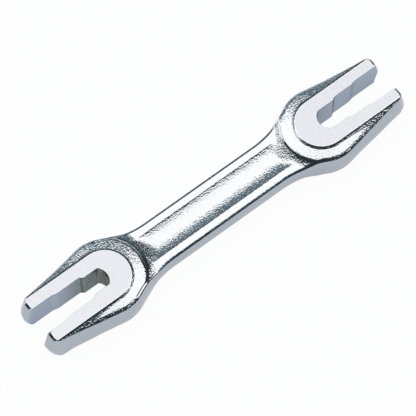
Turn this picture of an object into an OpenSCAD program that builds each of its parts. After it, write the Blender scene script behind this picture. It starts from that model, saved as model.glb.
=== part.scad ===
/* [Overall] */
// Length over both tips, measured at the mid plane
length = 96; // [90:0.5:110]
// Thickness of both heads, from pad to pad
head_thick = 8.6; // [8:0.1:11]

/* [Handle] */
// Width of the handle
handle_w = 10.9; // [9.6:0.1:12]
// Thickness of the handle over its rails
handle_thick = 4.4; // [3.6:0.1:4.8]
// Width of each rail beside the channel
rail_w = 2.3; // [1.4:0.1:2.8]
// Depth of the channel in each face of the handle
channel_depth = 0.9; // [0.4:0.1:1.3]
// Radius of the hollow neck that widens the handle into a head
neck_r = 21; // [16:0.5:26]
// Radius of the fillet where a head rises out of the handle
shoulder_r = 0.7; // [0.4:0.05:0.75]

/* [Heads] */
// Height of a head's side wall
rim_thick = 6.8; // [6.6:0.1:7.4]
// Height of a pad above the sloping flank around it
pad_step = 0.25; // [0.15:0.05:0.6]
// Rounding of the rim between flank and side wall
rim_round = 0.5; // [0.2:0.05:0.5]
// Angle by which each jaw tapers towards its tip
jaw_taper = 7.5; // [6:0.5:9.5]
// Draft of the tips, above and below the mid plane
tip_draft = 14; // [2:1:16]
// Rounding of the outer corner of each tip, seen from above
tip_round = 2.4; // [0.6:0.1:3]
// Length of the ramp from one slot width to the next
step_ramp = 0.8; // [0.3:0.1:1.2]
// Bevel at the mouth of each slot, measured at the mid plane
mouth_bevel = 0.7; // [0.2:0.1:1]

/* [Small end] */
// Radius of the round part of the small head
small_disc_r = 9.2; // [8.6:0.05:9.8]
// Radius and half width of the pads on the small head
small_pad_r = 5.8; // [5.2:0.05:6.4]
// Distance from the tips to the centre of the small head
small_setback = 18.6; // [17.5:0.1:20]
// Slot width at the mouth, for the widest nipple of the small end
small_mouth_w = 6.2; // [5.8:0.05:6.8]
// Slot width in the middle
small_middle_w = 5.6; // [5.1:0.05:5.75]
// Slot width at the root
small_root_w = 4.4; // [4.1:0.05:5]
// Distance from the tips to the end of the mouth width
small_mouth_depth = 7.1; // [5:0.1:8]
// Distance from the tips to the end of the middle width
small_middle_depth = 13.9; // [11:0.1:14.5]
// Distance from the tips to the root of the slot
small_slot_depth = 19.2; // [18.6:0.1:20.5]
// Radius of the arc at the root of the slot
small_root_r = 3.2; // [2.7:0.1:5]

/* [Large end] */
// Radius of the round part of the large head
large_disc_r = 9.3; // [8.6:0.05:9.8]
// Radius and half width of the pads on the large head
large_pad_r = 5.8; // [5.2:0.05:6.4]
// Distance from the tips to the centre of the large head
large_setback = 19.1; // [17.5:0.1:20]
// Slot width at the mouth, for the widest nipple of the large end
large_mouth_w = 6.6; // [6.2:0.05:7.2]
// Slot width in the middle
large_middle_w = 6; // [5.5:0.05:6.15]
// Slot width at the root
large_root_w = 5; // [4.4:0.05:5.4]
// Distance from the tips to the end of the mouth width
large_mouth_depth = 7.5; // [5:0.1:8]
// Distance from the tips to the end of the middle width
large_middle_depth = 13; // [11:0.1:14]
// Distance from the tips to the root of the slot
large_slot_depth = 19.6; // [18.6:0.1:20.5]
// Radius of the arc at the root of the slot
large_root_r = 2.75; // [2.75:0.05:5]

/* [Hidden] */
$fn = 96;

// How far every cut runs past the solid that it cuts
overrun = 1;

// Heights above the mid plane
pad_z = head_thick / 2;
rim_z = rim_thick / 2;
rail_z = handle_thick / 2;
flank_z = pad_z - pad_step;

// Half length of the wrench, and the part of it that a tip's draft takes at the pads
half_length = length / 2;
tip_back = pad_z * tan(tip_draft);

// Round bottom of the channel, from its width and depth
channel_half_w = handle_w / 2 - rail_w;
channel_r = (pow(channel_half_w, 2) + pow(channel_depth, 2)) / (2 * channel_depth);
channel_z = rail_z + channel_r - channel_depth;

// Height of the neck circles' centres beside the handle's middle line
neck_y = handle_w / 2 + neck_r;

// Each end as one list, read through the functions below it
small_end = [
    small_disc_r, small_pad_r, small_setback,
    [small_mouth_w, small_middle_w, small_root_w],
    [small_mouth_depth, small_middle_depth, small_slot_depth],
    small_root_r
];
large_end = [
    large_disc_r, large_pad_r, large_setback,
    [large_mouth_w, large_middle_w, large_root_w],
    [large_mouth_depth, large_middle_depth, large_slot_depth],
    large_root_r
];
function disc_r(end) = end[0];
function pad_r(end) = end[1];
function centre_x(end) = half_length - end[2];
function half_w(end, step) = end[3][step] / 2;
function step_x(end, step) = half_length - end[4][step];
function root_r(end) = end[5];

// Where the neck leaves the handle, and where a head begins
function neck_x(end) = centre_x(end) - sqrt(pow(disc_r(end) + neck_r, 2) - pow(neck_y, 2));
function throat_x(end) = centre_x(end) - disc_r(end) - shoulder_r;

// Where the arc at the slot's root meets the slot's walls, and where the jaws begin
function root_centre_x(end) = step_x(end, 2) + root_r(end);
function jaw_x(end) = root_centre_x(end) - sqrt(pow(root_r(end), 2) - pow(half_w(end, 2), 2));

// Middle of the round part of the channel's run-out at one end
function channel_end_x(end) = throat_x(end) - channel_half_w;

// Slope of the flank, and the reach of the rim's rounding along flank and wall
function flank_angle(end) = atan((flank_z - rim_z) / (disc_r(end) - pad_r(end)));
function rim_reach(end) = rim_round / tan(45 + flank_angle(end) / 2);

// Half of the handle and the neck that widens it towards one head, to a given thickness
module handle_half(end, thick) {
    translate([0, -handle_w / 2, -thick / 2]) cube([centre_x(end), handle_w, thick]);
    translate([0, 0, -thick / 2])
        linear_extrude(thick)
            difference() {
                polygon([[neck_x(end), -neck_y], [neck_x(end), neck_y], [centre_x(end), 0]]);
                for (side = [-1, 1])
                    translate([neck_x(end), side * neck_y]) circle(neck_r);
            }
}

// Upright block with a head's outline: the disc, the tapering jaws and their round corners
module head_block(end) {
    r = disc_r(end);
    x = centre_x(end);
    tangent = [x + r * sin(jaw_taper), r * cos(jaw_taper)];
    tip_y = tangent.y - (half_length - tangent.x) * tan(jaw_taper);
    reach = tip_round / tan(45 + jaw_taper / 2);
    side_end = [half_length - reach * cos(jaw_taper), tip_y + reach * sin(jaw_taper)];
    front_end = [half_length, tip_y - reach];
    translate([0, 0, -pad_z]) {
        translate([x, 0, 0]) cylinder(h = head_thick, r = r);
        linear_extrude(head_thick)
            polygon([
                [x, 0], tangent, side_end, front_end,
                [front_end.x, -front_end.y], [side_end.x, -side_end.y], [tangent.x, -tangent.y]
            ]);
        for (side = [-1, 1])
            translate([half_length - tip_round, side * front_end.y, 0])
                cylinder(h = head_thick, r = tip_round);
    }
}

// Half of a head's cross section: pad, step, sloping flank, rounded rim and side wall
module head_section(end) {
    r = disc_r(end);
    reach = rim_reach(end);
    flank_end = [r - reach * cos(flank_angle(end)), rim_z + reach * sin(flank_angle(end))];
    wall_end = [r, rim_z - reach];
    polygon([
        [0, -pad_z], [pad_r(end), -pad_z], [pad_r(end), -flank_z],
        [flank_end.x, -flank_end.y], [wall_end.x, -wall_end.y],
        wall_end, flank_end,
        [pad_r(end), flank_z], [pad_r(end), pad_z], [0, pad_z]
    ]);
    for (side = [-1, 1])
        translate([r - rim_round, side * wall_end.y]) circle(rim_round);
}

// Fillet ring around the foot of a head, above and below
module shoulder(end) {
    for (side = [0, 1])
        mirror([0, 0, side])
            rotate_extrude()
                difference() {
                    translate([disc_r(end) - shoulder_r, rail_z - shoulder_r])
                        square(2 * shoulder_r);
                    translate([disc_r(end) + shoulder_r, rail_z + shoulder_r])
                        circle(shoulder_r);
                }
}

// Side view of the tips, pointed at the mid plane by their draft
module tip_profile() {
    polygon([
        [0, -pad_z], [half_length - tip_back, -pad_z], [half_length, 0],
        [half_length - tip_back, pad_z], [0, pad_z]
    ]);
}

// Upright block that cuts a slot in three widths with a round root
module slot_block(end) {
    height = head_thick + 2 * overrun;
    mouth_x = half_length - mouth_bevel;
    upper = [
        [jaw_x(end), half_w(end, 2)],
        [step_x(end, 1) - step_ramp, half_w(end, 2)],
        [step_x(end, 1), half_w(end, 1)],
        [step_x(end, 0) - step_ramp, half_w(end, 1)],
        [step_x(end, 0), half_w(end, 0)],
        [mouth_x, half_w(end, 0)],
        [half_length + overrun, half_w(end, 0) + half_length + overrun - mouth_x]
    ];
    lower = [for (i = [len(upper) - 1:-1:0]) [upper[i].x, -upper[i].y]];
    translate([0, 0, -height / 2]) {
        linear_extrude(height) polygon(concat(upper, lower));
        intersection() {
            translate([root_centre_x(end), 0, 0]) cylinder(h = height, r = root_r(end));
            translate([step_x(end, 2) - overrun, -half_w(end, 2), 0])
                cube([root_r(end) + overrun, 2 * half_w(end, 2), height]);
        }
    }
}

// Whole head of one end, pointing along +X, with its slot cut
module head(end) {
    difference() {
        intersection() {
            head_block(end);
            union() {
                translate([centre_x(end), 0, 0]) rotate_extrude() head_section(end);
                translate([centre_x(end), 0, 0])
                    rotate([90, 0, 90])
                        linear_extrude(end[2])
                            for (side = [0, 1])
                                mirror([side, 0]) head_section(end);
            }
            translate([0, disc_r(end), 0])
                rotate([90, 0, 0])
                    linear_extrude(2 * disc_r(end)) tip_profile();
        }
        slot_block(end);
    }
}

// Block that keeps only what lies between two stations along X and two along Y
module keep(from_x, to_x, from_y, to_y) {
    translate([from_x, from_y, -pad_z - overrun])
        cube([to_x - from_x, to_y - from_y, head_thick + 2 * overrun]);
}

// Foot of one head: the disc behind the slot, its shoulder and its neck
module throat(end) {
    reach_y = disc_r(end) + overrun;
    intersection() {
        union() {
            head(end);
            difference() {
                handle_half(end, handle_thick);
                slot_block(end);
            }
            intersection() {
                handle_half(end, rim_thick);
                translate([centre_x(end), 0, 0]) shoulder(end);
            }
        }
        keep(throat_x(end), jaw_x(end), -reach_y, reach_y);
    }
}

// One jaw of one head: side is 1 for the back jaw, -1 for the front jaw
module jaw(end, side) {
    reach_y = disc_r(end) + overrun;
    intersection() {
        head(end);
        keep(jaw_x(end), half_length + overrun, min(0, side * reach_y), max(0, side * reach_y));
    }
}

// Hollow of one channel along the upper face, with rounded run-outs
module channel() {
    start = [-channel_end_x(small_end), 0, channel_z];
    run = channel_end_x(small_end) + channel_end_x(large_end);
    translate(start) rotate([0, 90, 0]) cylinder(h = run, r = channel_r);
    translate(start) sphere(channel_r);
    translate([start.x + run, start.y, start.z]) sphere(channel_r);
}

// Lifts a section so that the lower pads lie on the ground plane
module lifted() {
    translate([0, 0, pad_z]) children();
}

module handle() {
    reach_y = neck_y;
    color("silver") lifted()
        difference() {
            intersection() {
                union() {
                    handle_half(large_end, handle_thick);
                    mirror([1, 0, 0]) handle_half(small_end, handle_thick);
                }
                keep(-throat_x(small_end), throat_x(large_end), -reach_y, reach_y);
            }
            for (side = [0, 1])
                mirror([0, 0, side]) channel();
        }
}

module small_throat() {
    color("silver") lifted() mirror([1, 0, 0]) throat(small_end);
}

module small_jaw_front() {
    color("silver") lifted() mirror([1, 0, 0]) jaw(small_end, -1);
}

module small_jaw_back() {
    color("silver") lifted() mirror([1, 0, 0]) jaw(small_end, 1);
}

module large_throat() {
    color("silver") lifted() throat(large_end);
}

module large_jaw_front() {
    color("silver") lifted() jaw(large_end, -1);
}

module large_jaw_back() {
    color("silver") lifted() jaw(large_end, 1);
}

handle();
small_throat();
small_jaw_front();
small_jaw_back();
large_throat();
large_jaw_front();
large_jaw_back();
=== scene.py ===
from dataclasses import dataclass
from math import acos, asin, atan, atan2, ceil, cos, hypot, pi, radians, sin, sqrt, tan

import bmesh
import bpy
from mathutils import Matrix, Vector


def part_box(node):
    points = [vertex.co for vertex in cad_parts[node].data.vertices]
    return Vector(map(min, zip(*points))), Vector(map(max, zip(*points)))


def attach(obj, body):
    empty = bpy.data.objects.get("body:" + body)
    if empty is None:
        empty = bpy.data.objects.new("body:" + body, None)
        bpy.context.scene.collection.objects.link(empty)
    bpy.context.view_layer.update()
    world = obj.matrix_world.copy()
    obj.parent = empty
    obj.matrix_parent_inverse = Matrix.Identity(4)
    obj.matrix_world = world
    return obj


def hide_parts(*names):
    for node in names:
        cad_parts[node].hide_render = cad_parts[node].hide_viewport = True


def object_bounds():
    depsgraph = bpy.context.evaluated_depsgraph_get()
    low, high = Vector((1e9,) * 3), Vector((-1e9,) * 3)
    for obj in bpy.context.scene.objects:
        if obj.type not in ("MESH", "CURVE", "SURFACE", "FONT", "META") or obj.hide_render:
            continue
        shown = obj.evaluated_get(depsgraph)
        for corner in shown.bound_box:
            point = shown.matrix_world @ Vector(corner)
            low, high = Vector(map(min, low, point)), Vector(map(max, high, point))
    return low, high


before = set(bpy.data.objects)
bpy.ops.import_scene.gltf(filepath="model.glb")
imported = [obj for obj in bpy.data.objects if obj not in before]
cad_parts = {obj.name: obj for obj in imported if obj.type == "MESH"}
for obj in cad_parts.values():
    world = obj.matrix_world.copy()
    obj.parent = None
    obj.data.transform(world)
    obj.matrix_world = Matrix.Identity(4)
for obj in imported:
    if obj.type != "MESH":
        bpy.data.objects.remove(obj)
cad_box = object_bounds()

# The forging is worked out in millimetres, from its mid plane, and scaled when its mesh is made.
# Tilts are counted from level.
MM = 0.001
MID_Z = (cad_box[0].z + cad_box[1].z) / 2
HALF_LENGTH = cad_box[1].x / MM
NEAR_ZERO = 1e-6

# Heights above the mid plane
PAD_Z = (cad_box[1].z - MID_Z) / MM
RAIL_Z = (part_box("handle")[1].z - MID_Z) / MM
PAD_STEP = 0.23
FLANK_Z = PAD_Z - PAD_STEP
TIP_RIM_Z = 4

# Handle, with a channel whose edge is a small step, and the neck that widens to each head
HANDLE_HALF_W = 5.5
CHANNEL_HALF_W = 3.18
CHANNEL_DEPTH = 0.86
CHANNEL_LIP = 0.1
CHANNEL_EDGE = 0.25
CHANNEL_EDGE_BAND = (0.35, 0.25)
RAIL_ROUND = 0.64
RAIL_LEAN = 0.26
NECK_R = 21
NECK_JOINT = 2.4
NECK_SQUARE = 1 / 3
RAIL_DIP_X = (19, 26.5)
RAIL_DIP_Z = 3.27
VALLEY_ROUND = (0.5, 0.1)

# Bevels, as tilts at shares of their width
BEVEL_SHARES = (0.12, 0.3, 0.42, 0.6, 0.7, 0.93)
RAIL_TILTS = [radians(tilt) for tilt in (22, 29, 29, 30, 33, 52)]
RIM_TILTS = [radians(tilt) for tilt in (28, 30, 32, 42, 42, 42)]
LIP_TILTS = [radians(tilt) for tilt in (40, 40, 6, 6, 44, 44)]
PAD_BEVEL = ((0.15, radians(33)), (0.8, radians(33)))
FRONT_BEVEL = ((0.15, radians(45)), (0.85, radians(45)))
WALL_TILT = radians(85)
EDGE_TILT = radians(80)

# Pads, with a flat border, a narrow edge and a slope down to the flank
FLAT_BORDER = 0.12
PAD_EDGE = 0.12
PAD_CORNER = 0.9
STEP_TILT = radians(31)
STEP_TURN = 0.2
STEP_FALL = 0.45
STEP_LIMIT = 0.6

# Flanks, rims and side walls, which lean out further where a jaw gets narrow
STEEP_FLANK = tan(radians(32))
RIM_ROUND = 0.85
RIM_LEAN = 0.37
TIP_LEAN = 1.15
LEAN_RUN = (1.8, 3.5)
LEAN_LIMIT = 0.8
WALL_BARREL = 1.5
RIM_START = (0.5, 1)
LIP_START = (0.25, 0.4)
LIP_STOP = (radians(106), radians(112))

# Drop behind a head, as widths and tilts of its stages
DROP_INSET = 0.75
SMALL_DROP = ((0.28, radians(25)), (0.5, radians(37)), (0.6, radians(29)), (60, radians(28)))
LARGE_DROP = ((0.28, radians(27)), (0.35, radians(45)), (60, radians(33)))

# Jaws, tips and slots
JAW_TAPER = radians(7.5)
FRONT_SLANT = radians(7)
TIP_EDGE = 0.6
CORNER_EDGE = 0.42
CORNER_BLEND = 0.5
MOUTH_BEVEL = 0.7
MOUTH_CORNER = 0.3
SLOT_EDGE = 0.05
SLOT_FILLET = 0.5
FILLET_LIMIT = 0.45
FIRST_RAMP = 1.2
STEP_RAMP = 0.8

# Walls below the mid plane, which stand out further than those above by this reach
UNDER_REACH = 0.2
UNDER_ROUND = 0.25
UNDER_LIMIT = 0.6
UNDER_FADE_X = (38, 44)
UNDER_TIP_X = (42, 47)

# How finely the surface is laid out
TOP_STEPS = 40
WALL_STEPS = 18
BEVEL_STEPS = 32
BARREL_STEPS = 12
PLAIN_STEPS = 40
PLAIN_SPLIT = 4
BACK_STEPS = 120
FILLET_STEPS = 4
ROOT_STEPS = 8
STEP_PITCH = 0.02
SLOT_PITCH = 1
BEND_LENGTH = 0.35
BEND_TURN = radians(10)
SLOPE_PROBE = 0.05
CHANNEL_COLUMNS = 14
CHANNEL_EDGE_COLUMNS = 6
RAIL_COLUMNS = 4
NECK_COLUMNS = 24
DISC_COLUMNS = 16
LIP_COLUMNS = 8
JAW_COLUMNS = 34
CORNER_COLUMNS = 12
FRONT_COLUMNS = 8
MOUTH_COLUMNS = 6
HANDLE_ROWS = 52
MIRROR_GAP = 1e-7
SAME_POINT = 1e-8

# Finishes, as places in the forging's list of materials
PEBBLED, POLISHED, GROUND, BROACHED = range(4)

# Plating: colours, with the painted shade of the slots, and the sizes, depths and roughness of its
# grain
FORGED_COLOUR = (0.50, 0.54, 0.59, 1)
GROUND_COLOUR = (0.488, 0.519, 0.58, 1)
SLOT_COLOUR = (0.6, 0.68, 0.81, 1)
# Painted shade: an olive dark colour laid towards the slots' roots and on the last step
PAINTED_SLOT_SHADE_COLOUR = (0.23, 0.265, 0.225, 1)
BRIGHT_EDGE = (1, 1, 1, 1)
SLOT_DIM_EDGE = (0.5, 0.5, 0.5, 1)
PEBBLE_SIZE = 0.3
PEBBLED_DEPTHS = (0.055, 0.105)
POLISHED_DEPTHS = (0.03, 0.03)
LEVEL_TO_SLOPE = (0.97, 0.9)
GROUND_LINE_SIZE = 0.2
GROUND_LINE_STRETCH = (0.3, 1, 1)
GROUND_DEPTH = 0.006
CUTTER_MARK_SIZE = 0.4
CUTTER_MARK_STRETCH = (1, 1, 0.12)
CUTTER_DEPTH = 0.012
# Painted shade in the slots: its strength towards each root, and how it follows the cutter marks
SMALL_SLOT_PAINTED_SHADE = 0.9
LARGE_SLOT_PAINTED_SHADE = 0.3
PAINTED_SHADE_MARK_RANGE = (0.2, 0.8)
PAINTED_SHADE_BY_MARKS = (0.7, 1.2)
GRAIN_FINENESS = 0.55
GRAIN_RANGE = (0.3, 0.7)
GRAIN_MIDDLE = 0.5
FORGED_ROUGHNESS = (0.02, 0.05)
GROUND_ROUGHNESS = (0.3, 0.4)
CUTTER_ROUGHNESS = (0.14, 0.24)

# Table, in metres, and how much of its white shows by itself
TABLE_COLOUR = (0.74, 0.80, 0.88, 1)
TABLE_REACH = 2.5
TABLE_GAP = 0.0001
WHITE = (1, 1, 1, 1)
WHITE_SEEN = 0.96
WHITE_REFLECTED = 0.5

# Studio: the lamp's edges ahead, near and aside lie at these distances for each unit of height
LAMP_STRENGTH = 1.85
LAMP_FAR_EDGE = (0.92, 0.8)
LAMP_NEAR_EDGE = (-0.48, -0.06)
LAMP_SIDE_EDGE = (1.6, 1.2)
LEAST_HEIGHT = 0.02

# Studio: what else is lit, by the way to it ahead and to the right, its spread and its height
ROOM_STRENGTH = 0.06
WALL_STRENGTH = 0.3
WALL_WAY, WALL_SPREAD, WALL_HEIGHT = (0.9, -0.42), (0.25, 0.9), (0.14, 0.36)
CARD_STRENGTH = 1.6
CARD_WAY, CARD_SPREAD, CARD_HEIGHT = (0.3, -0.95), (0.86, 0.94), (0.42, 0.36)
GLOW_STRENGTH = 0.38
GLOW_WAY, GLOW_SPREAD, GLOW_HEIGHT = (0.83, 0.55), (0.9, 0.98), (0.13, 0.07)
ROOM_TINT = (0.72, 0.92, 1, 1)
LAMP_TINT = (1, 0.94, 0.88, 1)

# View
VIEW_AZIMUTH = radians(-37.57)
VIEW_ELEVATION = radians(67)
VIEW_DISTANCE = 600
VIEW_CLIP = (0.01, 20)
SENSOR_WIDTH = 36
PIXELS = 416
PIXELS_PER_MM = 4.66
CENTRE_PIXEL = (214.95, 204.9)


def mix(a, b, share):
    return a + (b - a) * share


def eased(value, start, stop):
    """Goes smoothly from 0 to 1 as a value goes from start to stop."""
    share = min(max((value - start) / (stop - start), 0), 1)
    return share * share * (3 - 2 * share)


def soft_max(a, b, reach):
    """The larger of two values, rounded off where they come within a reach of each other."""
    blend = max(reach - abs(a - b), 0) / reach
    return max(a, b) + blend * blend * reach / 4


def spread(start, stop, count):
    """Evenly spaced values from start up to, but without, stop."""
    return [mix(start, stop, i / count) for i in range(count)]


def between(a, b, share):
    """The point that lies a share of the way from point a to point b."""
    return tuple(mix(p, q, share) for p, q in zip(a, b))


def heading(a, b):
    """The unit step from point a towards point b, and the distance."""
    away = hypot(b[0] - a[0], b[1] - a[1])
    return ((b[0] - a[0]) / away, (b[1] - a[1]) / away), away


def on_circle(centre, radius, angle):
    return (centre[0] + radius * cos(angle), centre[1] + radius * sin(angle))


@dataclass
class End:
    """Sizes of one end, with x counted outwards from the middle of the wrench."""

    throat: str  # CAD node of its disc and neck
    side: int  # 1 towards +X, -1 towards -X
    setback: float  # from the tips to the middle of the disc
    pad_r: float  # round back of the pad
    half_widths: tuple  # of the slot at its mouth, in its middle and at its root
    depths: tuple  # from the tips to where each of these widths ends
    root_r: float  # round root of the slot
    tip_draft: float  # lean of the tips' fronts
    tip_round: float  # outer corners of the tips
    front_bevel: tuple  # edge along the tips' fronts
    rim_z: float  # height of the disc's rim
    rim_rise: tuple  # widths of the flank over which the rim comes down from the tip's height
    channel_fade: tuple  # where the handle's channel runs out
    drop: tuple  # stages of the drop behind the head
    lip: int  # 1 where a lip runs along the rim beside the neck
    under_tip: float  # further reach of the tips' walls below the mid plane

    def __post_init__(self):
        self.x = HALF_LENGTH - self.setback
        self.tip_x = HALF_LENGTH - PAD_Z * tan(self.tip_draft)
        self.mouth_x = self.tip_x - MOUTH_CORNER
        self.step_x = [HALF_LENGTH - depth for depth in self.depths]
        self.disc_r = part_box(self.throat)[1].y / MM
        self.neck_y = HANDLE_HALF_W + NECK_R
        self.neck_x = self.x - sqrt((self.disc_r + NECK_R) ** 2 - self.neck_y ** 2)
        self.joint_x = self.neck_x + NECK_JOINT
        self.flank_slope = (FLANK_Z - self.rim_z) / (self.disc_r - RIM_LEAN - self.pad_r)

    def outline_y(self, x):
        """Half width of the handle and its neck at the mid plane."""
        if x <= self.neck_x:
            return HANDLE_HALF_W
        return self.neck_y - sqrt(NECK_R ** 2 - (x - self.neck_x) ** 2)

    def head_z(self, radius):
        """Height of the round back of the head: the flank, and the drop behind it by stages."""
        rim = self.disc_r - DROP_INSET
        z = FLANK_Z - self.flank_slope * (min(radius, rim) - self.pad_r)
        left = max(radius - rim, 0)
        for width, tilt in self.drop:
            z -= min(left, width) * tan(tilt)
            left = max(left - width, 0)
        return z

    def forged_finish(self, point):
        """Finish at a point of the forged skin, which is polished on its edges."""
        x, y, z = abs(point[0]), point[1], point[2]
        past_rim = hypot(x - self.x, y) - self.disc_r + DROP_INSET
        polished_width = sum(width for width, tilt in self.drop[:-1])
        on_drop = 0 < past_rim < polished_width and x < self.x - self.disc_r / 2
        on_tip = x > self.tip_x - PAD_CORNER / 2
        return POLISHED if z > FLANK_Z or on_drop or on_tip else PEBBLED


SMALL = End(
    throat="small_throat", side=-1, setback=18.6, pad_r=5.78,
    half_widths=(3.1, 2.8, 2.2), depths=(7.1, 13.9, 19.2), root_r=3.2,
    tip_draft=radians(18), tip_round=3.5, front_bevel=FRONT_BEVEL,
    rim_z=3.42, rim_rise=(1.6, 2.44), channel_fade=(15.5, 21.5),
    drop=SMALL_DROP, lip=1, under_tip=0.3,
)
LARGE = End(
    throat="large_throat", side=1, setback=19.1, pad_r=5.78,
    half_widths=(3.3, 3, 2.5), depths=(7.5, 13, 19.6), root_r=2.75,
    tip_draft=radians(14), tip_round=3, front_bevel=PAD_BEVEL,
    rim_z=3.33, rim_rise=(1.3, 2.2), channel_fade=(16.5, 19.8),
    drop=LARGE_DROP, lip=0, under_tip=0,
)


def channel_z(x, y, fade):
    """Height of the handle's rails and of the hollow channel between them."""
    depth = CHANNEL_DEPTH - CHANNEL_LIP
    radius = (CHANNEL_HALF_W ** 2 + depth ** 2) / (2 * depth)
    rise = radius - sqrt(radius ** 2 - min(abs(y), CHANNEL_HALF_W) ** 2)
    edge_start = CHANNEL_HALF_W - CHANNEL_EDGE / 2
    lip = CHANNEL_LIP * (1 - eased(abs(y), edge_start, edge_start + CHANNEL_EDGE))
    return RAIL_Z - (depth - rise + lip) * (1 - eased(abs(x), *fade))


def top_z(end, x, y):
    """Height of the upper face between a head and the middle of the handle."""
    dip = eased(x, *RAIL_DIP_X)
    handle = channel_z(x, y, end.channel_fade) + (RAIL_DIP_Z - RAIL_Z) * dip
    return soft_max(end.head_z(hypot(x - end.x, y)), handle, mix(*VALLEY_ROUND, dip))


def resample(path, count):
    """The same path in a given number of steps, shorter where it bends.

    A bend of BEND_TURN takes as many steps as a straight length of BEND_LENGTH.
    """
    headings = [atan2(b[1] - a[1], b[0] - a[0]) for a, b in zip(path, path[1:])]
    bends = [abs((b - a + pi) % (2 * pi) - pi) for a, b in zip(headings, headings[1:])]
    bends = [0, *bends, 0]
    reached = [0]
    for i, (a, b) in enumerate(zip(path, path[1:])):
        length = hypot(b[0] - a[0], b[1] - a[1])
        bend = (bends[i] + bends[i + 1]) / 2
        reached.append(reached[-1] + length / BEND_LENGTH + bend / BEND_TURN)
    points, i = [], 0
    for step in range(count + 1):
        goal = reached[-1] * step / count
        while i < len(path) - 2 and reached[i + 1] < goal:
            i += 1
        share = (goal - reached[i]) / max(reached[i + 1] - reached[i], NEAR_ZERO)
        points.append(between(path[i], path[i + 1], min(share, 1)))
    return points


def bevel_stages(rise, lip=0):
    """Stages of a bevel, from a rail's to a rim's as rise goes from 0 to 1, with or without a lip."""
    return [
        (share, mix(mix(rail, rim, rise), flat, lip))
        for share, rail, rim, flat in zip(BEVEL_SHARES, RAIL_TILTS, RIM_TILTS, LIP_TILTS)
    ]


def bevel_path(start, first, last, width, stages):
    """Soft bevel that turns from a first to a last tilt by stages, as distances and heights."""
    turns = [(0, first), *stages, (1, last)]
    tilts = []
    for i in range(BEVEL_STEPS):
        share = (i + 0.5) / BEVEL_STEPS
        for (a, tilt_a), (b, tilt_b) in zip(turns, turns[1:]):
            if a <= share <= b:
                tilts.append(mix(tilt_a, tilt_b, eased(share, a, b)))
                break
    step = width / sum(cos(tilt) for tilt in tilts)
    path = [start]
    for tilt in tilts:
        d, z = path[-1]
        path.append((d + step * cos(tilt), z - step * sin(tilt)))
    return path


def edge_path(width, stages):
    """Flat border of a pad and its bevelled edge, as distances from the edge and heights."""
    bevel = bevel_path((-width, PAD_Z), 0, EDGE_TILT, width, stages)
    return [(-width - FLAT_BORDER, PAD_Z)] + bevel


def step_path(flank_z, slope, limit):
    """Edge of a pad and the slope below it, down to a flank of a given height and slope."""
    path = [(-PAD_EDGE - FLAT_BORDER, PAD_Z), (-PAD_EDGE, PAD_Z)]
    turned = 0
    while path[-1][0] < limit and path[-1][1] > flank_z - slope * path[-1][0]:
        turned += STEP_PITCH
        tilt = STEP_TILT * eased(turned, 0, STEP_TURN)
        d, z = path[-1]
        path.append((d + STEP_PITCH, z - STEP_PITCH * tan(tilt)))
    return path


def rim_path(start, slope, width, lean, stages):
    """Bevelled rim and barrelled side wall, from the end of the flank down to the mid plane."""
    path = bevel_path(start, atan(slope), WALL_TILT, width, stages)
    d, z = path[-1]
    for i in range(1, BARREL_STEPS + 1):
        left = 1 - i / BARREL_STEPS
        path.append((d + lean * (1 - left ** WALL_BARREL), z * left))
    return path


def side_profile(end, run, lip=0):
    """Step, flank, rim and wall beside a pad, where the mid plane lies a given run outside it."""
    lean_share = (run - LEAN_RUN[0]) / (LEAN_RUN[1] - LEAN_RUN[0])
    lean = min(mix(TIP_LEAN, RIM_LEAN, lean_share), LEAN_LIMIT * run)
    reach = run - lean
    rim_share = (run - end.rim_rise[0]) / (end.rim_rise[1] - end.rim_rise[0])
    rim_z = mix(TIP_RIM_Z, end.rim_z, min(max(rim_share, 0), 1))
    flank_z = max(FLANK_Z, PAD_Z - STEP_FALL * reach)
    slope = min((flank_z - rim_z) / reach, STEEP_FLANK)
    top = step_path(flank_z, slope, STEP_LIMIT * reach)
    step_d, step_z = top[-1]
    width = min(RIM_ROUND, reach - step_d)
    rim_d = reach - width
    start = (rim_d, step_z - slope * (rim_d - step_d))
    top.append(start)
    wall = rim_path(start, slope, width, lean, bevel_stages(1, lip))
    return resample(top, TOP_STEPS) + resample(wall, WALL_STEPS)[1:]


def plain_profile(run, edge, stages):
    """Rounded edge and plain drafted wall, as on the tips and in the slots."""
    top = edge_path(edge, stages)
    crown = top[-1][1]
    heights = [crown * (1 - i / PLAIN_STEPS) for i in range(1, PLAIN_STEPS + 1)]
    wall = [(run * (1 - z / crown), z) for z in heights]
    top += wall[:PLAIN_SPLIT + 1]
    return resample(top, TOP_STEPS) + resample(wall[PLAIN_SPLIT:], WALL_STEPS)[1:]


def placed(pad, out, wall, profile):
    """Points of a column: a profile laid from a pad's edge towards the wall's mid plane."""
    run = hypot(wall[0] - pad[0], wall[1] - pad[1])
    points = []
    for d, z in profile:
        inside = min(d, 0)
        share = max(d, 0) / run if run > NEAR_ZERO else 0
        x, y = between(pad, wall, share)
        points.append((x + out[0] * inside, y + out[1] * inside, z))
    return points


def head_column(end, pad, out, wall, plain=1.0, edge=SLOT_EDGE, lip=0):
    """Column of a head; plain goes from 0, with step and flank, to 1, with a bare wall."""
    run = hypot(wall[0] - pad[0], wall[1] - pad[1])
    if plain <= 0:
        return placed(pad, out, wall, side_profile(end, run, lip))
    stages = end.front_bevel if edge > SLOT_EDGE else PAD_BEVEL
    bare = placed(pad, out, wall, plain_profile(run, edge, stages))
    if plain >= 1:
        return bare
    stepped = placed(pad, out, wall, side_profile(end, run))
    return [between(a, b, plain) for a, b in zip(stepped, bare)]


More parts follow.
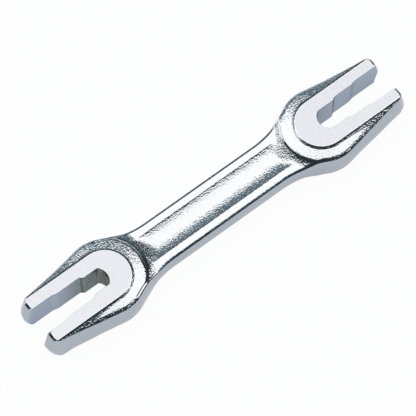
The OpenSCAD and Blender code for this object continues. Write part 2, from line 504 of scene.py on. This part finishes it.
def back_column(end, target):
    """Column from the round back of a pad, over flank and drop, to a point on neck or handle."""
    out, away = heading((end.x, 0), target)
    run = away - end.pad_r
    path = step_path(FLANK_Z, end.flank_slope, run)
    step_d = path[-1][0]
    for i in range(1, BACK_STEPS + 1):
        d = mix(step_d, run, i / BACK_STEPS)
        radius = end.pad_r + d
        path.append((d, top_z(end, end.x + out[0] * radius, out[1] * radius)))
    pad = (end.x + out[0] * end.pad_r, out[1] * end.pad_r)
    return placed(pad, out, target, resample(path, TOP_STEPS))


def wall_column(shelf, wall, z, slope, width, stages):
    """Points of the wall outside a rail or neck, from its upper edge down to the mid plane."""
    out, reach = heading(shelf, wall)
    path = rim_path((0, z), slope, width, reach - width, stages)
    return [
        (shelf[0] + out[0] * d, shelf[1] + out[1] * d, h)
        for d, h in resample(path, WALL_STEPS)
    ]


def rail_stations(edge_y):
    """Distances from the middle line across half of the handle, out to the rail's outer edge."""
    inner = CHANNEL_HALF_W - CHANNEL_EDGE_BAND[0]
    outer = CHANNEL_HALF_W + CHANNEL_EDGE_BAND[1]
    return (
        spread(0, inner, CHANNEL_COLUMNS)
        + spread(inner, outer, CHANNEL_EDGE_COLUMNS)
        + spread(outer, edge_y, RAIL_COLUMNS)
        + [edge_y]
    )


def neck_columns(end):
    """Columns whose outer ends run along the neck, from the handle's joint to the disc."""
    first = -acos(NECK_JOINT / NECK_R)
    last = atan2(-end.neck_y, end.x - end.neck_x)
    columns = []
    for share in spread(0, 1, NECK_COLUMNS):
        angle = mix(first, last, share)
        wall = on_circle((end.neck_x, end.neck_y), NECK_R, angle)
        square = eased(share, 0, NECK_SQUARE)
        out, _ = heading((0, 0), (-cos(angle) * square, mix(1, -sin(angle), square)))
        rise = eased(share, *RIM_START)
        width = mix(RAIL_ROUND, RIM_ROUND, rise)
        inset = width + mix(RAIL_LEAN, RIM_LEAN, rise)
        shelf = (wall[0] - out[0] * inset, wall[1] - out[1] * inset)
        z = top_z(end, *shelf)
        beyond = top_z(end, shelf[0] + out[0] * SLOPE_PROBE, shelf[1] + out[1] * SLOPE_PROBE)
        slope = min(max((z - beyond) / SLOPE_PROBE, 0), 1)
        lip = end.lip * eased(share, *LIP_START)
        side = wall_column(shelf, wall, z, slope, width, bevel_stages(rise, lip))
        columns.append(back_column(end, shelf) + side[1:])
    return columns


def disc_columns(end):
    """Columns round the side of the disc, from the neck to where the jaw begins."""
    columns = []
    start = atan2(end.neck_y, end.neck_x - end.x)
    for angle in spread(start, pi / 2, DISC_COLUMNS):
        pad = on_circle((end.x, 0), end.pad_r, angle)
        wall = on_circle((end.x, 0), end.disc_r, angle)
        lip = end.lip * eased(angle, *LIP_STOP)
        columns.append(head_column(end, pad, (cos(angle), sin(angle)), wall, plain=0, lip=lip))
    return columns


class Jaw:
    """A jaw, by its plan at the mid plane: a tapered side, a rounded corner and a slanted front."""

    def __init__(self, end):
        self.end = end
        self.pad_corner = (end.tip_x - PAD_CORNER, end.pad_r - PAD_CORNER)
        self.tangent = on_circle((end.x, 0), end.disc_r, pi / 2 - JAW_TAPER)
        self.front_stop = (HALF_LENGTH, end.half_widths[0] + MOUTH_BEVEL)
        past_x = self.front_stop[0] - self.tangent[0]
        past_y = self.front_stop[1] - self.tangent[1]
        inside = -past_x * sin(JAW_TAPER) - past_y * cos(JAW_TAPER)
        reach = inside / cos(JAW_TAPER + FRONT_SLANT)
        x = self.front_stop[0] - reach * sin(FRONT_SLANT)
        y = self.front_stop[1] + reach * cos(FRONT_SLANT)
        cut = end.tip_round * tan((pi / 2 - JAW_TAPER - FRONT_SLANT) / 2)
        self.front_start = (x + cut * sin(FRONT_SLANT), y - cut * cos(FRONT_SLANT))
        self.side_stop = (x - cut * cos(JAW_TAPER), y + cut * sin(JAW_TAPER))
        self.pivot = on_circle(self.side_stop, -end.tip_round, pi / 2 - JAW_TAPER)

    def side_y(self, x):
        """Half width of the disc and the tapered side."""
        if x < self.tangent[0]:
            return sqrt(self.end.disc_r ** 2 - (x - self.end.x) ** 2)
        return self.tangent[1] - (x - self.tangent[0]) * tan(JAW_TAPER)

    def side_column(self, share):
        """Column beside the pad's long edge."""
        end = self.end
        pad = (mix(end.x, self.pad_corner[0], share), end.pad_r)
        x = mix(end.x, self.side_stop[0], share)
        return head_column(end, pad, (0, 1), (x, self.side_y(x)), plain=0)

    def corner_column(self, share):
        """Column at the tip's outer corner, where step and flank run out."""
        angle = (1 - share) * pi / 2
        pad = on_circle(self.pad_corner, PAD_CORNER, angle)
        wall_angle = mix(pi / 2 - JAW_TAPER, FRONT_SLANT, share)
        wall = on_circle(self.pivot, self.end.tip_round, wall_angle)
        plain = eased(share, 0, CORNER_BLEND)
        edge = mix(CORNER_EDGE, TIP_EDGE, share)
        return head_column(self.end, pad, (cos(angle), sin(angle)), wall, plain, edge)

    def front_column(self, share):
        """Column at the tip's front."""
        end = self.end
        pad = (end.tip_x, mix(self.pad_corner[1], end.half_widths[0] + MOUTH_CORNER, share))
        wall = between(self.front_start, self.front_stop, share)
        return head_column(end, pad, (1, 0), wall, edge=TIP_EDGE)

    def mouth_column(self, share):
        """Column at the corner between the tip's front and the slot."""
        end = self.end
        mouth = end.half_widths[0]
        angle = -share * pi / 2
        pad = on_circle((end.mouth_x, mouth + MOUTH_CORNER), MOUTH_CORNER, angle)
        wall = on_circle((HALF_LENGTH - MOUTH_BEVEL, mouth + MOUTH_BEVEL), MOUTH_BEVEL, angle)
        edge = mix(TIP_EDGE, SLOT_EDGE, share)
        return head_column(end, pad, (cos(angle), sin(angle)), wall, edge=edge)

    def columns(self):
        """Columns along the jaw, round its tip and into the slot's mouth."""
        parts = (
            (self.side_column, JAW_COLUMNS),
            (self.corner_column, CORNER_COLUMNS),
            (self.front_column, FRONT_COLUMNS),
            (self.mouth_column, MOUTH_COLUMNS),
        )
        return [column(share) for column, count in parts for share in spread(0, 1, count)]


def rounded(corners, radius, pitch):
    """Points along a path of straight lines with rounded corners, no further apart than a pitch."""
    points = [corners[0]]
    for a, b, c in zip(corners, corners[1:], corners[2:]):
        corner = Vector(b)
        before, after = Vector(a) - corner, Vector(c) - corner
        turn = pi - before.angle(after)
        cut = min(radius * tan(turn / 2), FILLET_LIMIT * before.length, FILLET_LIMIT * after.length)
        start, stop = corner + before.normalized() * cut, corner + after.normalized() * cut
        for i in range(FILLET_STEPS + 1):
            t = i / FILLET_STEPS
            points.append(tuple(start * (1 - t) ** 2 + corner * 2 * t * (1 - t) + stop * t ** 2))
    points.append(corners[-1])
    path = [points[0]]
    for a, b in zip(points, points[1:]):
        parts = max(1, ceil(hypot(b[0] - a[0], b[1] - a[1]) / pitch))
        path += [between(a, b, i / parts) for i in range(1, parts + 1)]
    return path


def slot_columns(end):
    """Columns of one slot wall, from the mouth through the two ramps and round the root."""
    mouth, middle, root = end.half_widths
    first_x = end.step_x[0] - STEP_RAMP / 2
    corners = [
        (end.mouth_x, mouth),
        (first_x + FIRST_RAMP / 2, mouth),
        (first_x - FIRST_RAMP / 2, middle),
        (end.step_x[1], middle),
        (end.step_x[1] - STEP_RAMP, root),
    ]
    root_angle = asin(root / end.root_r)
    for share in spread(1, 0, ROOT_STEPS):
        angle = pi - root_angle * share
        corners.append(on_circle((end.step_x[2] + end.root_r, 0), end.root_r, angle))
    corners.append((end.step_x[2], 0))
    path = rounded(corners, SLOT_FILLET, SLOT_PITCH)
    last = len(path) - 1
    flare = HALF_LENGTH - MOUTH_BEVEL - end.mouth_x
    columns = []
    for i, point in enumerate(path):
        (along, across), _ = heading(path[max(i - 1, 0)], path[min(i + 1, last)])
        out = (-across, along) if i < last else (1, 0)
        share = max(0, (point[0] - end.step_x[0]) / (end.mouth_x - end.step_x[0]))
        columns.append(head_column(end, point, out, (point[0] + flare * share, point[1])))
    return columns


class Skin:
    """Points and faces of the half of the forging behind its middle line, kept in pairs.

    Each pair has one above and one below the mid plane, alike but for the walls, which stand
    straighter below.
    """

    def __init__(self):
        self.mesh = bmesh.new()

    def point(self, x, y, z):
        return self.mesh.verts.new((x * MM, max(y, 0) * MM, z * MM))

    def line(self, points, wall_start, side=1, under_tip=0):
        """Pairs of points along a column, whose wall begins at a given place in it."""
        foot = Vector(points[-1][:2])
        edge_z = points[wall_start][2]
        pairs = []
        for i, (x, y, z) in enumerate(points):
            upper = lower = self.point(side * x, y, z)
            if z >= NEAR_ZERO:
                under = Vector((x, y))
                if i > wall_start:
                    way = foot - under
                    reach = UNDER_REACH * (1 - eased(abs(x), *UNDER_FADE_X))
                    reach += under_tip * eased(abs(x), *UNDER_TIP_X)
                    reach *= eased(edge_z - z, 0, UNDER_ROUND)
                    under += way.normalized() * min(reach, UNDER_LIMIT * way.length)
                lower = self.point(side * under.x, under.y, -z)
            pairs.append((upper, lower))
        return pairs

    def face(self, pairs, finish):
        upper, lower = zip(*pairs)
        for corners in (upper, lower[::-1]):
            self.mesh.faces.new(corners).material_index = finish

    def strip(self, first, second, finish):
        """Row of faces between two lines of pairs, of one finish or one by the middle of each face."""
        for pairs in zip(first, first[1:], second[1:], second):
            middle = sum((upper.co for upper, lower in pairs), Vector()) / len(pairs) / MM
            self.face(pairs, finish(middle) if callable(finish) else finish)

    def whole(self, name):
        """The whole mesh: the half with its mirror image, at its height above the ground."""
        geometry = self.mesh.verts[:] + self.mesh.edges[:] + self.mesh.faces[:]
        bmesh.ops.mirror(self.mesh, geom=geometry, axis="Y", merge_dist=MIRROR_GAP)
        bmesh.ops.remove_doubles(self.mesh, verts=self.mesh.verts[:], dist=SAME_POINT)
        bmesh.ops.recalc_face_normals(self.mesh, faces=self.mesh.faces[:])
        bmesh.ops.translate(self.mesh, verts=self.mesh.verts[:], vec=(0, 0, MID_Z))
        data = bpy.data.meshes.new(name)
        self.mesh.to_mesh(data)
        self.mesh.free()
        data.shade_smooth()
        return data


def add_head(skin, end):
    """Adds one head, and returns the lines of its top and wall where the handle joins it."""
    edge_y = end.outline_y(end.joint_x) - RAIL_ROUND - RAIL_LEAN
    backs = [back_column(end, (end.joint_x, y)) for y in rail_stations(edge_y)[:-1]]
    walls = neck_columns(end) + disc_columns(end) + Jaw(end).columns()
    columns = backs + walls + slot_columns(end)
    lines = [skin.line(points, TOP_STEPS, end.side, end.under_tip) for points in columns]
    first_wall = len(backs)
    polished_stop = first_wall + NECK_COLUMNS + LIP_COLUMNS * end.lip
    first_slot = first_wall + len(walls) - 1
    for i, (a, b) in enumerate(zip(lines, lines[1:])):
        finish = BROACHED if i >= first_slot else end.forged_finish
        skin.face((a[0], a[1], b[1], b[0]), GROUND)
        skin.strip(a[1:TOP_STEPS + 1], b[1:TOP_STEPS + 1], finish)
        if i >= first_wall:
            wall_finish = POLISHED if i < polished_stop else finish
            skin.strip(a[TOP_STEPS:], b[TOP_STEPS:], wall_finish)
    skin.face([line[0] for line in lines], GROUND)
    top_joint = [line[TOP_STEPS] for line in lines[:first_wall + 1]]
    return top_joint, lines[first_wall][TOP_STEPS:]


def handle_lines(skin, x):
    """Lines of pairs over the top of the handle and down its wall, across the handle at x."""
    end = LARGE if x > 0 else SMALL
    wall = (x, end.outline_y(abs(x)))
    shelf = (x, wall[1] - RAIL_ROUND - RAIL_LEAN)
    top = [(x, y, top_z(end, abs(x), y)) for y in rail_stations(shelf[1])]
    side = wall_column(shelf, wall, top[-1][2], 0, RAIL_ROUND, bevel_stages(0))
    wall_start = len(top) - 1
    line = skin.line(top[:-1] + side, wall_start)
    return line[:len(top)], line[wall_start:]


def add_handle(skin, small_joint, large_joint):
    """Adds the handle between the lines of pairs that the two heads end in."""
    stations = spread(-SMALL.joint_x, LARGE.joint_x, HANDLE_ROWS)[1:]
    rows = [small_joint, *(handle_lines(skin, x) for x in stations), large_joint]
    for (top, wall), (next_top, next_wall) in zip(rows, rows[1:]):
        skin.strip(top, next_top, PEBBLED)
        skin.strip(wall, next_wall, POLISHED)


class Nodes:
    """The nodes of one material or of the world."""

    def __init__(self, owner):
        owner.use_nodes = True
        self.tree = owner.node_tree
        self.tree.nodes.clear()

    def add(self, kind, settings=None, values=None, output=0):
        """Adds a node with its settings and the values or links of its sockets."""
        node = self.tree.nodes.new("ShaderNode" + kind)
        for name, setting in (settings or {}).items():
            setattr(node, name, setting)
        for name, value in (values or {}).items():
            if isinstance(value, Link):
                self.tree.links.new(value.socket, node.inputs[name])
            else:
                node.inputs[name].default_value = value
        return Link(self, node.outputs[output]) if node.outputs else None


class Link:
    """An output of a node; arithmetic on it adds Math nodes beside that node."""

    def __init__(self, nodes, socket):
        self.nodes = nodes
        self.socket = socket

    def maths(self, operation, *values):
        return self.nodes.add("Math", {"operation": operation}, dict(enumerate(values)))

    def __add__(self, other):
        return self.maths("ADD", self, other)

    def __radd__(self, other):
        return self.maths("ADD", other, self)

    def __sub__(self, other):
        return self.maths("SUBTRACT", self, other)

    def __rsub__(self, other):
        return self.maths("SUBTRACT", other, self)

    def __mul__(self, other):
        return self.maths("MULTIPLY", self, other)

    def __rmul__(self, other):
        return self.maths("MULTIPLY", other, self)

    def __truediv__(self, other):
        return self.maths("DIVIDE", self, other)

    def __rtruediv__(self, other):
        return self.maths("DIVIDE", other, self)

    def __abs__(self):
        return self.maths("ABSOLUTE", self)

    def at_least(self, least):
        return self.maths("MAXIMUM", self, least)

    def ramp(self, start, stop, low=0.0, high=1.0):
        """Goes smoothly from low to high as this value goes from start to stop."""
        return self.nodes.add("MapRange", {"interpolation_type": "SMOOTHSTEP"}, {
            "Value": self, "From Min": start, "From Max": stop, "To Min": low, "To Max": high,
        })


def colour_mix(nodes, share, first, second):
    """Goes from the first colour to the second as share goes from 0 to 1."""
    return nodes.add("Mix", {"data_type": "RGBA"}, {0: share, 6: first, 7: second}, 2)


def grain(nodes, size, detail, stretch=(1, 1, 1)):
    """Noise of a given size in millimetres, laid over the object's own coordinates."""
    place = nodes.add("TexCoord", output="Object")
    scaled = nodes.add("VectorMath", {"operation": "MULTIPLY"}, {0: place, 1: stretch})
    return nodes.add("TexNoise", None, {
        "Vector": scaled, "Scale": 1 / (size * MM), "Detail": detail, "Roughness": GRAIN_FINENESS,
    })


def metal_material(name, nodes_of, edge_tint=BRIGHT_EDGE):
    """Metal whose colour, roughness, and height in millimetres come from a function of its nodes."""
    material = bpy.data.materials.new(name)
    nodes = Nodes(material)
    colour, roughness, height = nodes_of(nodes)
    normal = nodes.add("Bump", None, {"Strength": 1.0, "Distance": MM, "Height": height})
    metal = nodes.add("BsdfPrincipled", None, {
        "Base Color": colour, "Metallic": 1.0, "Roughness": roughness, "Normal": normal,
        "Specular Tint": edge_tint,
    })
    nodes.add("OutputMaterial", None, {"Surface": metal})
    return material


def forged_chrome(nodes, depths):
    """Bright plating over a forged skin, whose pebbles have one depth where level and one on slopes."""
    pebbles = grain(nodes, PEBBLE_SIZE, detail=0)
    facing = nodes.add("TexCoord", output="Normal")
    level = abs(nodes.add("SeparateXYZ", None, {0: facing}, "Z"))
    height = (pebbles - GRAIN_MIDDLE) * level.ramp(*LEVEL_TO_SLOPE, *depths)
    return FORGED_COLOUR, pebbles.ramp(*GRAIN_RANGE, *FORGED_ROUGHNESS), height


def pebbled_chrome(nodes):
    """Plating over the skin as it was forged."""
    return forged_chrome(nodes, PEBBLED_DEPTHS)


def polished_chrome(nodes):
    """Plating over edges that were polished after forging."""
    return forged_chrome(nodes, POLISHED_DEPTHS)


def ground_chrome(nodes):
    """Plating over a face ground flat, with fine lines along the wrench."""
    lines = grain(nodes, GROUND_LINE_SIZE, detail=2, stretch=GROUND_LINE_STRETCH)
    return GROUND_COLOUR, lines.ramp(*GRAIN_RANGE, *GROUND_ROUGHNESS), lines * GROUND_DEPTH


def broached_chrome(nodes):
    """Plating in the slots, with upright marks of the cutter, and painted shade: darker towards the
    root and a dark line on the last step.
    """
    marks = grain(nodes, CUTTER_MARK_SIZE, detail=2, stretch=CUTTER_MARK_STRETCH)
    place = nodes.add("TexCoord", output="Object")
    x = nodes.add("SeparateXYZ", None, {0: place}, "X")
    # Painted shade, darker towards each slot's root, the small end's more than the large end's
    small = x.ramp(-SMALL.step_x[0] * MM, -SMALL.step_x[2] * MM) * x.ramp(MM, -MM)
    large = x.ramp(LARGE.step_x[1] * MM, LARGE.step_x[2] * MM) * x.ramp(-MM, MM)
    painted_shade = (small * SMALL_SLOT_PAINTED_SHADE + large * LARGE_SLOT_PAINTED_SHADE) * marks.ramp(*PAINTED_SHADE_MARK_RANGE, *PAINTED_SHADE_BY_MARKS)
    # Painted shade: a dark line across the ramp of the last step in each slot
    for end in (SMALL, LARGE):
        last_step = end.side * (end.step_x[1] - STEP_RAMP / 2) * MM
        painted_shade = painted_shade + abs(x - last_step).ramp(STEP_RAMP * MM / 2, 0)
    colour = colour_mix(nodes, painted_shade, SLOT_COLOUR, PAINTED_SLOT_SHADE_COLOUR)
    return colour, marks.ramp(*GRAIN_RANGE, *CUTTER_ROUGHNESS), marks * CUTTER_DEPTH


def forging():
    """The wrench: one forging from tip to tip."""
    skin = Skin()
    small_joint = add_head(skin, SMALL)
    large_joint = add_head(skin, LARGE)
    add_handle(skin, small_joint, large_joint)
    data = skin.whole("wrench_forging")
    data.materials.append(metal_material("pebbled_chrome", pebbled_chrome))
    data.materials.append(metal_material("polished_chrome", polished_chrome))
    data.materials.append(metal_material("ground_chrome", ground_chrome))
    data.materials.append(metal_material("broached_chrome", broached_chrome, SLOT_DIM_EDGE))
    piece = bpy.data.objects.new("wrench_forging", data)
    bpy.context.scene.collection.objects.link(piece)
    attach(piece, "root")
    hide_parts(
        "handle", "small_throat", "small_jaw_front", "small_jaw_back",
        "large_throat", "large_jaw_front", "large_jaw_back",
    )


def white_table():
    """White paper that keeps a faint shadow, and shows white by itself to the camera and in metal."""
    material = bpy.data.materials.new("white_table")
    nodes = Nodes(material)
    seen = WHITE_SEEN * nodes.add("LightPath", output="Is Camera Ray")
    for kind in ("Is Glossy Ray", "Is Transmission Ray"):
        seen = seen + WHITE_REFLECTED * nodes.add("LightPath", output=kind)
    paper = nodes.add("BsdfDiffuse", None, {"Color": TABLE_COLOUR})
    glow = nodes.add("Emission", None, {"Color": WHITE, "Strength": 1.0})
    shader = nodes.add("MixShader", None, {0: seen, 1: paper, 2: glow})
    nodes.add("OutputMaterial", None, {"Surface": shader})
    return material


def floor():
    """Table just under the wrench."""
    data = bpy.data.meshes.new("table")
    corners = [(x * TABLE_REACH, y * TABLE_REACH, 0) for x, y in ((-1, -1), (1, -1), (1, 1), (-1, 1))]
    data.from_pydata(corners, [], [(0, 1, 2, 3)])
    data.materials.append(white_table())
    table = bpy.data.objects.new("table", data)
    table.location.z = -TABLE_GAP
    bpy.context.scene.collection.objects.link(table)


def studio_light():
    """Large soft lamp above and behind the wrench, in a dim room with a lit wall, card and glow."""
    world = bpy.data.worlds.new("studio")
    nodes = Nodes(world)
    sight = nodes.add("TexCoord", output="Generated")
    away = Vector((-sin(VIEW_AZIMUTH), cos(VIEW_AZIMUTH), 0))
    right = Vector((cos(VIEW_AZIMUTH), sin(VIEW_AZIMUTH), 0))

    def along(axis):
        return nodes.add("VectorMath", {"operation": "DOT_PRODUCT"}, {0: sight, 1: axis}, "Value")

    up = along((0, 0, 1))
    height = up.at_least(LEAST_HEIGHT)
    ahead = along(away) / height
    aside = along(right) / height
    lamp = ahead.ramp(*LAMP_FAR_EDGE) * ahead.ramp(*LAMP_NEAR_EDGE) * abs(aside).ramp(*LAMP_SIDE_EDGE)

    def lit(way, spread_range, height_range):
        """Part of the room that lies a given way ahead and to the right, in a range of heights."""
        return along(away * way[0] + right * way[1]).ramp(*spread_range) * up.ramp(*height_range)

    wall = lit(WALL_WAY, WALL_SPREAD, WALL_HEIGHT)
    card = lit(CARD_WAY, CARD_SPREAD, CARD_HEIGHT)
    glow = lit(GLOW_WAY, GLOW_SPREAD, GLOW_HEIGHT)
    room = ROOM_STRENGTH + wall * WALL_STRENGTH + glow * GLOW_STRENGTH
    strength = room + lamp * LAMP_STRENGTH + card * CARD_STRENGTH
    tint = colour_mix(nodes, lamp + card, ROOM_TINT, LAMP_TINT)
    shine = nodes.add("Background", None, {"Color": tint, "Strength": strength})
    nodes.add("OutputWorld", None, {"Surface": shine})
    bpy.context.scene.world = world


def camera():
    """Camera at the photograph's viewing angle."""
    a, e = VIEW_AZIMUTH, VIEW_ELEVATION
    back = Vector((sin(a) * cos(e), -cos(a) * cos(e), sin(e)))
    right = Vector((cos(a), sin(a), 0))
    up = back.cross(right)
    middle = Vector((0, 0, MID_Z / MM))
    shift_x = (CENTRE_PIXEL[0] - PIXELS / 2) / PIXELS_PER_MM
    shift_y = (PIXELS / 2 - CENTRE_PIXEL[1]) / PIXELS_PER_MM
    aim = middle - right * shift_x - up * shift_y
    data = bpy.data.cameras.new("camera")
    data.sensor_width = SENSOR_WIDTH
    data.lens = PIXELS_PER_MM * VIEW_DISTANCE * SENSOR_WIDTH / PIXELS
    data.clip_start, data.clip_end = VIEW_CLIP
    eye = bpy.data.objects.new("camera", data)
    turn = Matrix((right, up, back)).transposed().to_4x4()
    eye.matrix_world = Matrix.Translation((aim + back * VIEW_DISTANCE) * MM) @ turn
    bpy.context.scene.collection.objects.link(eye)
    bpy.context.scene.camera = eye


camera()
forging()
floor()
studio_light()
bpy.context.scene.view_settings.view_transform = "Standard"
